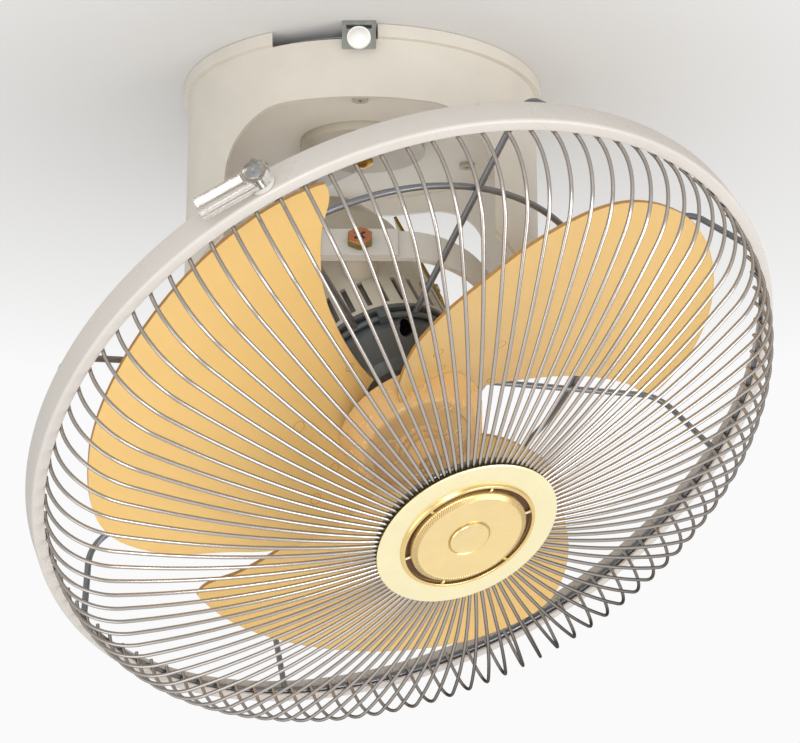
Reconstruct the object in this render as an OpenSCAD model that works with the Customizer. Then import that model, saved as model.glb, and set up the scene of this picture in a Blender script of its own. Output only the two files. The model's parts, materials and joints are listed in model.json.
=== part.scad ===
// Orbital ceiling fan: a canopy on the ceiling, a gimbal that lets the fan head
// circle, a 400 mm fan with three translucent blades, and its round wire guard.
// Millimetres, +Z up, origin at the centre of the ceiling plate's top face.

/* [Orbit] */
// Tilt of the fan axis from straight down, which the crank keeps constant
orbit_tilt = 36.7; // [20:0.1:38]
// Compass direction that the fan faces at rest, from +X, as seen from above
facing = -54.4; // [-70:0.1:-20]
// Depth of the gimbal centre below the ceiling
gimbal_depth = 156.5; // [150:0.5:175]

/* [Canopy] */
// Outer radius of the canopy wall
canopy_r = 111.5; // [105:0.5:125]
// Thickness of the canopy wall and floor
canopy_wall = 3; // [2:0.5:4]
// How far the rim stands out of the canopy wall
rim_step = 3.5; // [2:0.5:6]
// Height of the rim
rim_h = 8; // [5:0.5:14]
// Depth of the canopy floor's lower face below the ceiling
floor_depth = 32; // [28:0.5:36]
// Half the width of each arch in the canopy wall
arch_half = 81; // [60:1:85]
// Depth of the top of each arch below the ceiling
arch_depth = 44.5; // [40:0.5:60]
// Corner radius of each arch
arch_r = 38; // [15:1:40]
// Depth below the ceiling at which the legs start to narrow
leg_depth = 112; // [100:1:116]
// Half the width of each leg's tongue at the pivot
tongue_half = 17; // [14:0.5:22]
// How far the tongue reaches below the pivot
tongue_drop = 15; // [13:0.5:20]
// Radius of the round disc under the canopy floor
disc_r = 40; // [28:1:48]
// Thickness of that disc
disc_t = 6; // [4:0.5:8]
// Width of the notch in the rim, left of the bracket
notch_left = 52; // [30:1:60]
// Width of the notch in the rim, right of the bracket
notch_right = 11; // [11:1:30]

/* [Ceiling plate] */
// Radius of the steel plate against the ceiling
plate_r = 95; // [80:1:98]
// Thickness of the steel plate
plate_t = 2; // [1.5:0.5:4]
// Circle of the four ceiling screw holes
ceiling_pcd = 100; // [80:1:130]
// Radius of a ceiling screw hole
ceiling_hole_r = 3; // [2:0.25:4]
// Radius of the cable hole in the middle
cable_hole_r = 12; // [8:0.5:16]
// Circle of the posts that carry the canopy
post_pcd = 158; // [140:1:164]
// Radius of a post
post_r = 6; // [5:0.5:9]
// Radius of a canopy screw
canopy_screw_r = 2.5; // [2:0.25:3]
// Width of the bracket at the rim
bracket_w = 20; // [14:1:22]
// Height of the bracket at the rim
bracket_h = 17; // [12:1:24]
// Radius of the bracket's round cap
bracket_cap_r = 7; // [4:0.5:8]
// Radius of the bracket's screw
bracket_screw_r = 2.5; // [2:0.25:3]

/* [Crank] */
// Radius of the crank bolt's shank
crank_bolt_r = 4; // [3:0.5:6]
// Radius of the crank bolt's head
crank_head_r = 7; // [6:0.5:10]
// Height of the crank bolt's head
crank_head_h = 6; // [4:0.5:7]
// Thickness of the crank arm
crank_t = 5; // [3:0.5:6]
// Radius of the crank arm's hub
crank_hub_r = 13; // [9:0.5:18]
// Radius of the drive pad at the end of the crank
crank_pad_r = 8; // [6:0.5:11]
// Thickness of the drive pad
crank_pad_t = 5; // [3:0.5:8]

/* [Gimbal] */
// Half the length of the strap, along the canopy pivots
strap_x = 85; // [80:0.5:88]
// Half the width of the strap, along the head pivots
strap_y = 71.5; // [66:0.5:80]
// Corner radius of the strap
strap_r = 60; // [30:1:64]
// Thickness of the strap
strap_t = 3; // [2:0.5:5]
// Height of the strap
strap_h = 24; // [20:0.5:26]
// Width of the pad round each head pivot
pad_w = 46; // [30:1:60]
// Thickness of that pad
pad_t = 2; // [1:0.5:4]
// Radius of the canopy pivot pins
pin_r = 5; // [3:0.5:7]
// Wall of the flanged bushes in the legs
bush_wall = 3; // [2:0.5:4]
// Radius of the head pivot shoulder screws
screw_r = 5; // [3:0.5:6]
// Radius of a shoulder screw's face
screw_head_r = 8; // [7:0.5:10]
// Height of a shoulder screw's head
screw_head_h = 5; // [3:0.5:7]

/* [Motor] */
// Outer radius of the slotted motor housing
motor_r = 52; // [44:0.5:55]
// Wall of the motor housing, the front bracket and the gear case
motor_wall = 2.5; // [2:0.5:3.5]
// Length of the slotted housing behind the gimbal centre
motor_back = 20; // [15:1:30]
// Length of the slotted housing in front of the gimbal centre
motor_front = 36; // [24:1:38]
// Number of cooling slots
slot_count = 30; // [18:1:36]
// Width of a cooling slot
slot_w = 3.2; // [2:0.1:5]
// Length of a cooling slot
slot_len = 21.5; // [10:0.5:22]
// Largest radius of the slate front bracket
front_r = 46; // [40:0.5:48]
// Length of the front bracket
front_len = 28; // [24:1:34]
// Radius of the nose of the front bracket
nose_r = 24; // [20:1:30]
// Radius of the gear case
gear_r = 50; // [40:0.5:52]
// Length of the gear case's straight part
gear_len = 38; // [25:1:40]
// Radius of the gear case's rear end
tail_r = 40; // [25:1:44]
// Length of the gear case's taper
tail_len = 28; // [20:1:30]
// Radius of the side bosses that carry the head pivots
boss_r = 11; // [9:0.5:13]
// Radius of the drive disc behind the gear case
drive_r = 22; // [14:1:30]
// Radius of the drive stud
stud_r = 5; // [3:0.5:7]
// Length of the drive stud
stud_len = 10; // [8:0.5:12]
// Radius of the motor shaft
shaft_r = 4; // [3:0.5:6]
// Radius of the rotor core
rotor_r = 25; // [20:0.5:28]
// Length of the rotor and stator cores
core_len = 30; // [20:1:36]

/* [Gears] */
// Teeth of each pinion
pinion_teeth = 12; // [10:1:14]
// Teeth of each large gear
gear_teeth = 44; // [36:1:46]
// Module of the gear teeth
gear_module = 0.83; // [0.75:0.01:0.85]
// Width of each large gear
gear_w = 4; // [3:0.5:4.5]
// Radius of the layshaft and of the motor shaft's thin tail
layshaft_r = 2.5; // [2:0.25:3]

/* [Blades] */
// Radius of the blade tips
blade_r = 206; // [190:1:208]
// Thickness of a blade
blade_t = 2.4; // [1.6:0.2:3]
// Distance from the gimbal centre to the leading edge
blade_start = 65.8; // [62:0.1:70]
// Pitch of the blade surface at the axis, in mm of depth for a radian
pitch_root = 10.9; // [5:0.1:14]
// Growth of that pitch with radius
pitch_growth = 0.142; // [0.08:0.002:0.16]
// Number of blades
blade_count = 3; // [2:1:3]
// Angle of the first blade in the fan's own frame
blade_angle = 20; // [0:1:119]
// Radius of the hub at its rear
hub_r = 46; // [40:0.5:50]
// Radius of the hub at its front
hub_front_r = 38; // [30:0.5:40]
// Length of the hub
hub_len = 20; // [16:1:30]
// Wall of the hub
hub_wall = 2.5; // [2:0.5:4]
// Gap between the motor's nose and the hub
hub_gap = 24; // [4:0.5:26]
// Radius of the blade nut
nut_r = 14; // [10:0.5:20]
// Height of the blade nut
nut_h = 14; // [8:1:20]

/* [Guard] */
// Distance from the blade tips to the outer wall of the guard hoop
tip_gap = 26.5; // [20:0.5:34]
// Depth of the guard hoop
hoop_w = 17; // [14:0.5:24]
// Wall of the guard hoop
hoop_t = 1.8; // [1.2:0.1:3]
// Width of the hoop's front lip
lip_w = 7; // [6.5:0.1:9]
// Distance from the gimbal centre to the front of the hoop
hoop_front = 104.5; // [95:0.5:112]
// Number of front guard wires
wire_count = 100; // [60:1:120]
// Radius of a front guard wire
wire_r = 1.1; // [0.8:0.1:1.4]
// Radius of the thicker rings and of the spokes
rod_r = 2; // [1.5:0.25:2.5]
// Bend radius of a front wire at the shoulder
shoulder_r = 43; // [30:1:50]
// Long bend radius of a front wire over the dome
dome_r = 531; // [400:1:900]
// Offset of a front wire from the fan axis
wire_offset = 2.2; // [0:0.1:5]
// Number of rear guard spokes
spoke_count = 8; // [6:1:10]
// Radius of the rear guard's middle ring
mid_ring_r = 142; // [120:1:160]
// Bend radius of a spoke at the hoop
spoke_bend_r = 20; // [14:1:24]

/* [Badge] */
// How far the badge reaches past the middle of its wire ring
badge_edge = 2.27; // [2:0.01:5]
// Thickness of the badge plate
badge_t = 1.5; // [1:0.25:3]
// Outer radius of the ring of slots
slot_ring_r = 38.6; // [30:0.1:42]
// Width of the ring of slots
slot_ring_w = 5; // [3:0.25:6]
// Number of slots in that ring
badge_slots = 6; // [4:1:8]
// Height of the badge's dome
dome_h = 4; // [2:0.5:8]
// Radius of the badge's middle boss
badge_boss_r = 11; // [8:0.5:14]

/* [Guard clip] */
// Angle of the clip's screw round the hoop in the fan's own frame
clip_angle = 111.5; // [0:0.5:360]
// Length of the clip from its screw to its tip
clip_len = 34; // [24:1:44]
// Width of the clip
clip_w = 15; // [10:0.5:17]
// Height of the clip above the hoop
clip_h = 7; // [5:0.5:10]
// Radius of the clip's boss
clip_boss_r = 7.5; // [6:0.5:9]
// Radius of the clip's screw
clip_screw_r = 2; // [1.5:0.25:2.5]

/* [Fits] */
// Radial clearance of a shaft or pin that turns
run_gap = 0.05; // [0.02:0.01:0.1]
// Gap between parts that turn past each other or sit side by side
side_gap = 0.3; // [0.2:0.05:0.6]

/* [Hidden] */
$fn = 96;
eps = 0.01;
// The fan axis points along (axis_x, axis_y, axis_z); the strap turns about X by
// yoke_tilt, and the head turns in the strap by head_tilt.
axis_x = sin(orbit_tilt) * cos(facing);
axis_y = sin(orbit_tilt) * sin(facing);
head_tilt = -asin(axis_x);
yoke_tilt = asin(axis_y / cos(head_tilt));
floor_top = floor_depth - canopy_wall;
rim_r = canopy_r + rim_step;
canopy_in_r = canopy_r - canopy_wall;
leg_bottom = gimbal_depth + tongue_drop;
disc_bottom = floor_depth + disc_t;
crank_top = disc_bottom + side_gap;
crank_bottom = crank_top + crank_t;
bush_r = pin_r + run_gap + bush_wall;
strap_in_y = strap_y - strap_t;
boss_end = strap_in_y - side_gap;
gear_end = motor_back + gear_len + tail_len;
drive_t = 4;
drive_start = gear_end + side_gap;
stud_end = drive_start + drive_t + stud_len;
pad_reach = stud_end + side_gap;
nose_end = motor_front + front_len;
bearing_r = 11;
bearing_t = 7;
hub_start = nose_end + hub_gap;
hub_end = hub_start + hub_len;
shaft_end = hub_end + nut_h - 3;
shaft_start = -motor_back - 8;
train_start = motor_back + 10.5;
stage_pitch = gear_w + 3;
train_end = train_start + 3 * stage_pitch;
// The blade outline tables are drawn for this root and this tip.
table_root = 44;
table_tip = 206;
blade_root = hub_r - 2;
train_offset = (pinion_teeth + gear_teeth) * gear_module / 2;
case_floor = gear_end - 4;
hoop_r = blade_r + tip_gap;
hoop_back = hoop_front - hoop_w;
hoop_in_r = hoop_r - hoop_t;
lip_in_r = hoop_r - lip_w;
wire_lip_r = lip_in_r - wire_r - side_gap;
ring_rod_r = (hoop_in_r - side_gap - wire_lip_r - wire_r - side_gap / 2) / 2;
ring_mid_r = hoop_in_r - side_gap - ring_rod_r;
ring_mid_s = hoop_front - hoop_t - side_gap - ring_rod_r - 1;
wire_start = ring_mid_s - 2;
spoke_top = ring_mid_s - ring_rod_r - side_gap;
// A front wire leaves the hoop at wire_lean, turns at the shoulder to dome_start
// and arrives under the badge at dome_stop, all measured from the radial direction.
wire_lean = 81.3;
dome_start = 160;
dome_stop = 176;
shoulder_end_r = wire_lip_r + shoulder_r * (sin(dome_start) - sin(wire_lean));
shoulder_end_s = hoop_front - 4.5 + shoulder_r * (cos(wire_lean) - cos(dome_start));
wire_end_r = shoulder_end_r + dome_r * (sin(dome_stop) - sin(dome_start));
wire_end_s = shoulder_end_s + dome_r * (cos(dome_start) - cos(dome_stop));
badge_back = wire_end_s + wire_r + side_gap;
badge_ring_r = wire_end_r + 1.2;
badge_ring_s = wire_end_s - (badge_ring_r - wire_end_r) * tan(180 - dome_stop)
    - (wire_r + rod_r + side_gap / 2) / cos(180 - dome_stop);
badge_r = badge_ring_r + badge_edge;
flange_t = 3;
collar_r = front_r + rod_r + side_gap / 2;
collar_s = motor_front + 6;
spoke_in_r = collar_r + rod_r + side_gap;
spoke_out_r = ring_mid_r;
spoke_start = 180 / spoke_count - 1;
spoke_slope = 1.3;
spoke_rise = 70;
mid_ring_s = collar_s + (mid_ring_r - spoke_in_r) * tan(spoke_slope)
    - (2 * rod_r + side_gap / 2) / cos(spoke_slope);
clip_base = hoop_r + 3.5;
// Rods meet inside a ball that is a little thicker, each stopping trim_len short.
joint_bead = 0.2;
trim_len = 0.12;

// ---- frames ----------------------------------------------------------------

// The strap's frame: origin at the gimbal centre, turned about X.
module yoke_frame() {
    translate([0, 0, -gimbal_depth]) rotate([yoke_tilt, 0, 0]) children();
}

// The fan's own frame: origin at the gimbal centre, +Z along the fan axis to the front.
module fan_frame() {
    yoke_frame() rotate([0, head_tilt, 0]) rotate([180, 0, 0]) children();
}

module ring_of(count, start = 0) {
    for (i = [0 : count - 1]) rotate([0, 0, start + 360 * i / count]) children();
}

module tube(outer, inner, length) {
    difference() {
        cylinder(r = outer, h = length);
        translate([0, 0, -1]) cylinder(r = inner, h = length + 2);
    }
}

module rod_ring(ring, rod) {
    rotate_extrude() translate([ring, 0]) circle(r = rod, $fn = 32);
}

// ---- canopy and ceiling ----------------------------------------------------

module ceiling_plate() {
    color("lightgray") difference() {
        translate([0, 0, -plate_t]) cylinder(r = plate_r, h = plate_t);
        translate([0, 0, -plate_t - 1]) {
            cylinder(r = cable_hole_r, h = plate_t + 2);
            ring_of(4, 45) translate([ceiling_pcd / 2, 0, 0])
                cylinder(r = ceiling_hole_r, h = plate_t + 2);
        }
    }
}

module canopy_posts() {
    color("lightgray") ring_of(3, 30) translate([post_pcd / 2, 0, -floor_top]) difference() {
        cylinder(r = post_r, h = floor_top - plate_t);
        translate([0, 0, -1]) cylinder(r = canopy_screw_r + run_gap, h = 14);
    }
}

module canopy_screws() {
    head_h = 2.5;
    color("silver") ring_of(3, 30) translate([post_pcd / 2, 0, -floor_depth]) difference() {
        union() {
            translate([0, 0, -head_h]) cylinder(r = canopy_screw_r * 2, h = head_h);
            translate([0, 0, -eps]) cylinder(r = canopy_screw_r, h = 12);
        }
        for (turn = [0, 90]) rotate([0, 0, turn]) translate([-2, -0.4, -head_h - 1])
            cube([4, 0.8, 2.2]);
    }
}

// The outline of one arch, standing in the XY plane with its top at arch_depth.
module arch_outline() {
    shoulder = arch_depth + arch_r;
    foot = leg_bottom + 6;
    translate([-arch_half, -foot]) square([2 * arch_half, foot - shoulder]);
    translate([-arch_half + arch_r, -shoulder - eps]) square([2 * (arch_half - arch_r), arch_r + eps]);
    for (side = [-1, 1]) translate([side * (arch_half - arch_r), -shoulder]) circle(r = arch_r);
}

// A leg's tongue, seen along X: it narrows from the leg's full width to the pivot.
module tongue_outline() {
    wide = sqrt(canopy_r * canopy_r - arch_half * arch_half) + 6;
    neck = -gimbal_depth + tongue_half / 2;
    polygon([[-wide, -leg_depth + 1], [wide, -leg_depth + 1], [wide, -leg_depth],
        [tongue_half, neck], [tongue_half, -gimbal_depth], [-tongue_half, -gimbal_depth],
        [-tongue_half, neck], [-wide, -leg_depth]]);
    translate([0, -gimbal_depth]) circle(r = tongue_half);
}

module canopy_wall_ring(depth) {
    translate([0, 0, -depth]) tube(canopy_r, canopy_in_r, depth);
}

module canopy_shell() {
    notch_w = notch_left + notch_right;
    color("antiquewhite") difference() {
        union() {
            canopy_wall_ring(leg_depth);
            translate([0, 0, -rim_h]) tube(rim_r, canopy_in_r, rim_h);
            translate([0, 0, -floor_depth]) cylinder(r = canopy_r - 1, h = canopy_wall);
            intersection() {
                canopy_wall_ring(leg_bottom + 5);
                rotate([90, 0, 90]) translate([0, 0, -canopy_r - 5])
                    linear_extrude(2 * canopy_r + 10) tongue_outline();
            }
        }
        rotate([90, 0, 0]) translate([0, 0, -canopy_r - 5])
            linear_extrude(2 * canopy_r + 10) arch_outline();
        translate([-notch_left, -rim_r - 1, -rim_h]) cube([notch_w, rim_r - 90, rim_h + 1]);
        translate([0, 0, -floor_depth - 1]) {
            cylinder(r = crank_bolt_r + 4, h = canopy_wall + 2);
            ring_of(3, 30) translate([post_pcd / 2, 0, 0])
                cylinder(r = canopy_screw_r + run_gap, h = canopy_wall + 2);
        }
        translate([-canopy_r - 5, 0, -gimbal_depth]) rotate([0, 90, 0])
            cylinder(r = bush_r + run_gap, h = 2 * canopy_r + 10);
    }
}

module canopy_disc() {
    color("antiquewhite") difference() {
        union() {
            translate([0, 0, -disc_bottom]) cylinder(r = disc_r, h = disc_t);
            translate([0, 0, -floor_depth - eps]) cylinder(r = crank_bolt_r + 4 - run_gap, h = 8);
        }
        translate([0, 0, -disc_bottom - 1]) cylinder(r = crank_bolt_r + run_gap, h = 20);
    }
}

module rim_bracket() {
    face = rim_r + 2;
    color("silver") difference() {
        union() {
            translate([-bracket_w / 2, -face - plate_t, -bracket_h])
                cube([bracket_w, plate_t, bracket_h]);
            translate([-bracket_w / 2, -face - plate_t, -plate_t])
                cube([bracket_w, face - plate_r + plate_t - side_gap, plate_t]);
        }
        translate([-bracket_w / 2 + 2.5, -face - 1.5 * plate_t, -5])
            cube([bracket_w - 5, 2 * plate_t, 2.5]);
        translate([0, -face + 1, -bracket_h + 6]) rotate([90, 0, 0])
            cylinder(r = bracket_screw_r + run_gap, h = plate_t + 2);
    }
}

module bracket_screw() {
    face = rim_r + 2;
    color("dimgray") translate([0, -face + 3, -bracket_h + 6]) rotate([90, 0, 0]) {
        cylinder(r = bracket_screw_r, h = 3 + plate_t + 2);
        cylinder(r = bracket_screw_r * 1.8, h = 3 - side_gap);
    }
}

module bracket_cap() {
    face = rim_r + 2 + plate_t;
    color("white") translate([0, -face, -bracket_h + 6]) rotate([90, 0, 0]) difference() {
        rotate_extrude() difference() {
            union() {
                square([bracket_cap_r, 1.5]);
                intersection() {
                    translate([0, -bracket_cap_r * 0.6]) circle(r = bracket_cap_r * 1.17);
                    translate([0, 1]) square([bracket_cap_r, bracket_cap_r]);
                }
            }
            translate([-2 * bracket_cap_r, -3 * bracket_cap_r])
                square([2 * bracket_cap_r, 6 * bracket_cap_r]);
        }
        translate([0, 0, -1]) cylinder(r = bracket_screw_r + run_gap, h = 3.2);
    }
}

module terminal_block() {
    color("whitesmoke") translate([30, -12, -floor_top]) difference() {
        cube([28, 24, 12]);
        for (i = [0 : 2]) translate([5 + 9 * i, 12, 4]) cylinder(r = 2, h = 10);
    }
}

module cable_grommet() {
    color("dimgray") difference() {
        union() {
            translate([0, 0, -plate_t - 3]) cylinder(r = cable_hole_r + 3, h = 3 - side_gap);
            translate([0, 0, -plate_t - 1]) cylinder(r = cable_hole_r - run_gap, h = plate_t + 1);
        }
        translate([0, 0, -plate_t - 4]) cylinder(r = cable_hole_r - 4, h = plate_t + 5);
    }
}

module leg_bushes() {
    color("dimgray") for (side = [0, 180]) rotate([0, 0, side])
        translate([canopy_in_r - 3, 0, -gimbal_depth]) rotate([0, 90, 0]) difference() {
            union() {
                cylinder(r = bush_r + 3, h = 2);
                cylinder(r = bush_r, h = canopy_wall + 4);
            }
            translate([0, 0, -1]) cylinder(r = pin_r + run_gap, h = canopy_wall + 6);
        }
}

// ---- crank -----------------------------------------------------------------

// Horizontal distance and depth of the crank's end, on the fan axis behind the tail.
function crank_reach() = (pad_reach + crank_pad_t) * sin(orbit_tilt);
function crank_drop() = gimbal_depth - (pad_reach + crank_pad_t) * cos(orbit_tilt);

module crank_arm() {
    reach = crank_reach();
    width = crank_hub_r * 0.8;
    drop = crank_drop();
    color("goldenrod") rotate([0, 0, facing + 180]) difference() {
        union() {
            translate([0, 0, -crank_bottom]) {
                cylinder(r = crank_hub_r, h = crank_t);
                translate([0, -width, 0]) cube([reach, 2 * width, crank_t]);
                translate([reach, 0, 0]) cylinder(r = width, h = crank_t);
            }
            translate([reach, 0, -drop + 1])
                cylinder(r = crank_pad_r - 2, h = drop - crank_bottom + crank_t / 2);
        }
        translate([0, 0, -crank_bottom - 1]) cylinder(r = crank_bolt_r + run_gap, h = crank_t + 2);
        translate([0, 0, -gimbal_depth]) rotate([0, orbit_tilt, 0])
            translate([0, 0, -gimbal_depth])
                cylinder(r = 2 * gimbal_depth, h = gimbal_depth + pad_reach + crank_pad_t);
    }
}

module crank_pad() {
    color("dimgray") rotate([0, 0, facing + 180]) translate([0, 0, -gimbal_depth])
        rotate([0, orbit_tilt, 0]) translate([0, 0, pad_reach]) difference() {
            cylinder(r = crank_pad_r, h = crank_pad_t);
            translate([0, 0, -1]) cylinder(r = 1.5, h = crank_pad_t - 1);
        }
}

module crank_bolt() {
    head_top = -crank_bottom - side_gap;
    color("gold") {
        translate([0, 0, head_top]) cylinder(r = crank_bolt_r, h = disc_t + crank_t + 6);
        translate([0, 0, head_top]) mirror([0, 0, 1]) rotate_extrude() {
            square([crank_head_r, crank_head_h * 0.4]);
            intersection() {
                translate([0, -crank_head_r * 0.5]) circle(r = crank_head_r * 1.28);
                translate([0, crank_head_h * 0.3]) square([crank_head_r, crank_head_h * 0.7]);
            }
        }
    }
}

// ---- gimbal strap ----------------------------------------------------------

module strap_outline(inset) {
    x = strap_x - inset;
    y = strap_y - inset;
    r = strap_r - inset;
    square([2 * x, 2 * (y - r)], center = true);
    square([2 * (x - r), 2 * y], center = true);
    for (i = [-1, 1], j = [-1, 1]) translate([i * (x - r), j * (y - r)]) circle(r = r);
}

module yoke_strap() {
    color("silver") yoke_frame() difference() {
        union() {
            translate([0, 0, -strap_h / 2]) linear_extrude(strap_h) difference() {
                strap_outline(0);
                strap_outline(strap_t);
            }
            for (near = [strap_y - eps, -strap_y - pad_t]) translate([-pad_w / 2, near, -strap_h / 2])
                cube([pad_w, pad_t + eps, strap_h]);
        }
        rotate([90, 0, 0]) cylinder(r = screw_r + run_gap, h = 2 * strap_y + 20, center = true);
        rotate([0, 90, 0]) cylinder(r = pin_r + run_gap, h = 2 * strap_x + 20, center = true);
    }
}

// Each pin's collar seats on the strap's outer face and turns against the bush.
module yoke_pins() {
    collar_end = canopy_in_r - 3 - side_gap;
    color("silver") yoke_frame() for (side = [0, 180]) rotate([0, 0, side]) rotate([0, 90, 0]) {
        translate([0, 0, strap_x - strap_t - 3 - side_gap]) cylinder(r = pin_r + 3, h = 3);
        translate([0, 0, strap_x - strap_t - 4]) cylinder(r = pin_r, h = canopy_r + 4 - strap_x + strap_t);
        translate([0, 0, strap_x + side_gap]) cylinder(r = pin_r + 3, h = collar_end - strap_x - side_gap);
    }
}

module head_pivot_screws() {
    seat = strap_y + pad_t + side_gap;
    depth = 14;
    color("peru") yoke_frame() for (side = [0, 180]) rotate([0, 0, side]) rotate([90, 0, 0]) difference() {
        union() {
            translate([0, 0, boss_end - depth]) cylinder(r = screw_r, h = seat - boss_end + depth + 1);
            translate([0, 0, seat]) cylinder(r = screw_head_r, h = screw_head_h);
        }
        for (turn = [0, 90]) rotate([0, 0, turn]) translate([-3.5, -0.8, seat + screw_head_h - 2])
            cube([7, 1.6, 3]);
    }
}

// ---- motor -----------------------------------------------------------------

module side_boss(from, to, radius) {
    for (side = [-1, 1]) rotate([side * 90, 0, 0]) translate([0, 0, from])
        cylinder(r = radius, h = to - from);
}

module motor_housing() {
    length = motor_back + motor_front;
    color("antiquewhite") fan_frame() difference() {
        union() {
            translate([0, 0, -motor_back]) cylinder(r = motor_r, h = length);
            side_boss(motor_r - 6, boss_end, boss_r);
        }
        translate([0, 0, -motor_back + motor_wall]) cylinder(r = motor_r - motor_wall, h = length);
        translate([0, 0, -motor_back - 1]) cylinder(r = bearing_r + run_gap, h = motor_wall + 2);
        translate([train_offset, 0, -motor_back - 1]) cylinder(r = layshaft_r + run_gap, h = motor_wall + 2);
        side_boss(motor_r - 16, boss_end + 1, screw_r + run_gap);
        ring_of(slot_count) translate([motor_r - 5, -slot_w / 2, motor_front - 3 - slot_len])
            cube([8, slot_w, slot_len]);
    }
}

module motor_front_bracket() {
    color("slategray") fan_frame() translate([0, 0, motor_front]) difference() {
        rotate_extrude() difference() {
            polygon([[0, 0], [motor_r, 0], [motor_r, flange_t], [front_r, flange_t], [front_r, 14],
                [nose_r + 6, front_len - 5], [nose_r, front_len], [0, front_len]]);
            polygon([[-1, -1], [front_r - motor_wall - 1, -1], [front_r - motor_wall - 1, 13],
                [nose_r + 3 - motor_wall, front_len - 4 - motor_wall], [-1, front_len - 4 - motor_wall]]);
        }
        translate([0, 0, -1]) cylinder(r = bearing_r + run_gap, h = front_len + 2);
        ring_of(6, 15) translate([front_r - 8, 0, 4]) rotate([0, 30, 0])
            cylinder(r = 5, h = front_len, $fn = 48);
    }
}

module gear_case() {
    length = gear_len + tail_len;
    floor_at = length - 4;
    color("antiquewhite") train_frame(0, motor_back + side_gap / 3) difference() {
        rotate_extrude() polygon([[0, 0], [gear_r, 0], [gear_r, gear_len], [tail_r, length], [0, length]]);
        translate([0, 0, -1]) cylinder(r = gear_r - motor_wall, h = gear_len - 2);
        translate([0, 0, -1]) cylinder(r = tail_r - motor_wall - 2, h = floor_at + 1);
        translate([0, 0, gear_len]) cylinder(r = stud_r + run_gap, h = tail_len + 1);
        translate([train_offset, 0, floor_at - 1]) cylinder(r = layshaft_r + run_gap, h = 3);
    }
}

module stator_core() {
    color("dimgray") fan_frame() translate([0, 0, motor_front - 4 - core_len])
        tube(motor_r - motor_wall - run_gap, rotor_r + 0.5, core_len);
}

module bearing(at) {
    translate([0, 0, at]) tube(bearing_r, shaft_r + run_gap, bearing_t);
}

module front_bearing() {
    color("silver") fan_frame() bearing(nose_end - bearing_t);
}

module rear_bearing() {
    color("silver") fan_frame() bearing(-motor_back - side_gap / 3 + run_gap);
}

module gear_case_bolts() {
    color("silver") fan_frame() ring_of(4, 45) translate([tail_r - 8, 0, -gear_end - 3 - side_gap / 3])
        cylinder(r = 3.2, h = 3 - side_gap / 3, $fn = 6);
}

// A flat bar beside the gear case, held to the motor housing by one screw.
module link_frame() {
    fan_frame() rotate([0, 0, 12]) translate([motor_r + side_gap, 0, -8]) children();
}

module side_link() {
    color("goldenrod") link_frame() difference() {
        translate([0, -5, -70]) cube([2, 10, 84]);
        translate([-1, 0, 0]) rotate([0, 90, 0]) cylinder(r = 1.5 + run_gap, h = 4);
    }
}

module link_screw() {
    color("silver") link_frame() rotate([0, 90, 0]) {
        cylinder(r = 1.5, h = 2.5);
        translate([0, 0, 2 + side_gap / 3]) cylinder(r = 3, h = 1.6);
    }
}

// ---- gear train ------------------------------------------------------------

// A gear along +Z. Its teeth stop short of the pitch circle, so they clear at any angle.
module toothed(teeth, length) {
    r = teeth * gear_module / 2 - side_gap / 3;
    linear_extrude(length) difference() {
        circle(r = r);
        ring_of(teeth) translate([r - gear_module, -gear_module / 2]) square([gear_module + 1, gear_module]);
    }
}

// A frame that looks backwards from the gimbal centre, on the fan axis or on the layshaft.
module train_frame(offset, depth) {
    fan_frame() translate([offset, 0, -depth]) mirror([0, 0, 1]) children();
}

// A large gear and a pinion in one, which turn freely on their shaft.
module compound_gear(stage) {
    offset = stage % 2 == 0 ? train_offset : 0;
    color("ivory") train_frame(offset, train_start + stage * stage_pitch) difference() {
        union() {
            toothed(gear_teeth, gear_w);
            translate([0, 0, gear_w - eps]) toothed(pinion_teeth, 2 * stage_pitch - gear_w - side_gap + eps);
        }
        translate([0, 0, -1]) cylinder(r = layshaft_r + run_gap, h = 2 * stage_pitch + 2);
    }
}

module gear_first() {
    compound_gear(0);
}

module gear_second() {
    compound_gear(1);
}

module gear_third() {
    compound_gear(2);
}

module output_gear() {
    color("ivory") train_frame(0, train_end) difference() {
        toothed(gear_teeth, gear_w);
        translate([0, 0, -1]) cylinder(r = stud_r + run_gap, h = gear_w + 2);
    }
}

module motor_pinion() {
    start = side_gap / 3 - shaft_start;
    color("silver") train_frame(0, start) difference() {
        toothed(pinion_teeth, train_start + stage_pitch - side_gap - start);
        translate([0, 0, -1]) cylinder(r = layshaft_r + run_gap, h = train_start);
    }
}

module layshaft() {
    shoulder = motor_back + side_gap;
    color("silver") train_frame(train_offset, 0) {
        translate([0, 0, motor_back - 2]) cylinder(r = layshaft_r, h = case_floor + 3.5 - motor_back);
        translate([0, 0, shoulder]) cylinder(r = layshaft_r + 1.5, h = train_start - side_gap - shoulder);
    }
}

module layshaft_spacer() {
    start = train_start + 4 * stage_pitch;
    color("silver") train_frame(train_offset, start) tube(layshaft_r + 1.5, layshaft_r + run_gap,
        case_floor - side_gap / 3 - start);
}

// ---- guard -----------------------------------------------------------------

// An arc of rod in the XZ plane that starts at the origin along +Z and bends towards -X.
// Each end stops short by trim degrees, inside the ball that joins it to the next piece.
module rod_arc(bend, turn, rod, trim_start, trim_end) {
    translate([-bend, 0, 0]) rotate([90, 0, 0]) rotate([0, 0, trim_start])
        rotate_extrude(angle = turn - trim_start - trim_end) translate([bend, 0]) circle(r = rod);
}

function trim(bend) = trim_len * 180 / (PI * bend);

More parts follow.
